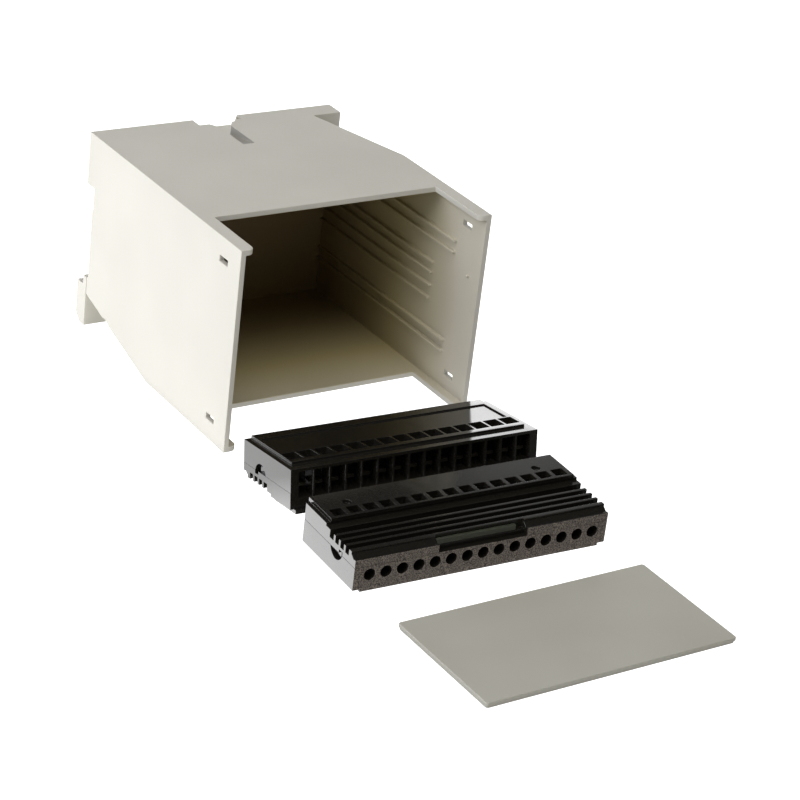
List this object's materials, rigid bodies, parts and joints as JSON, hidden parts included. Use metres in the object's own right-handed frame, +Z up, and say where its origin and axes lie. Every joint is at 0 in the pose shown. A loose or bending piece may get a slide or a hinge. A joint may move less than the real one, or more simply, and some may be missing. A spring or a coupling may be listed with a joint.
{
  "type": "din rail enclosure",
  "caption": "Wide light grey electronics housing with a sprung rail foot, laid out with its black screw terminal rows and its flat front cover plate.",
  "frame": {"origin": "centre of the housing's underside", "axes": "+X along the rail, +Y from the open front to the rail, +Z up"},
  "size_m": [0.1074, 0.2818, 0.075],
  "materials": {
    "housing_plastic": "fine matt moulded ABS, light grey",
    "cover_plastic": "smooth matt moulded ABS, light grey",
    "terminal_plastic": "glass filled polyamide, black, satin",
    "marking_plastic": "translucent grey green strip",
    "screw_steel": "zinc plated",
    "cage_steel": "zinc plated, bent",
    "contact_brass": "tinned brass",
    "spring_steel": "drawn wire"
  },
  "bodies": {
    "housing_and_kit": {"front_clamp_cage_01": "cage_steel", "front_clamp_cage_02": "cage_steel", "front_clamp_cage_03": "cage_steel", "front_clamp_cage_04": "cage_steel", "front_clamp_cage_05": "cage_steel", "front_clamp_cage_06": "cage_steel", "front_clamp_cage_07": "cage_steel", "front_clamp_cage_08": "cage_steel", "front_clamp_cage_09": "cage_steel", "front_clamp_cage_10": "cage_steel", "front_clamp_cage_11": "cage_steel", "front_clamp_cage_12": "cage_steel", "front_clamp_cage_13": "cage_steel", "front_clamp_cage_14": "cage_steel", "front_clamp_cage_15": "cage_steel", "front_clamp_screws": "screw_steel", "front_contact_bars": "contact_brass", "front_cover": "cover_plastic", "front_lower_moulding": "terminal_plastic", "front_marking_strip": "marking_plastic", "front_upper_moulding": "terminal_plastic", "housing": "housing_plastic", "latch_spring": "spring_steel", "rear_clamp_cage_01": "cage_steel", "rear_clamp_cage_02": "cage_steel", "rear_clamp_cage_03": "cage_steel", "rear_clamp_cage_04": "cage_steel", "rear_clamp_cage_05": "cage_steel", "rear_clamp_cage_06": "cage_steel", "rear_clamp_cage_07": "cage_steel", "rear_clamp_cage_08": "cage_steel", "rear_clamp_cage_09": "cage_steel", "rear_clamp_cage_10": "cage_steel", "rear_clamp_cage_11": "cage_steel", "rear_clamp_cage_12": "cage_steel", "rear_clamp_cage_13": "cage_steel", "rear_clamp_cage_14": "cage_steel", "rear_clamp_cage_15": "cage_steel", "rear_clamp_screws": "screw_steel", "rear_contact_bars": "contact_brass", "rear_lower_moulding": "terminal_plastic", "rear_marking_strip": "marking_plastic", "rear_upper_moulding": "terminal_plastic"},
    "foot": {"rail_latch": "housing_plastic"}
  },
  "joints": [
    {"name": "foot_slide", "type": "slide", "parent": "housing_and_kit", "child": "foot", "axis": [0, 0, -1], "range_m": [0, 0.004], "stiffness_N_per_m": 400, "springref_m": -0.004, "deforming": ["latch_spring"]}
  ]
}
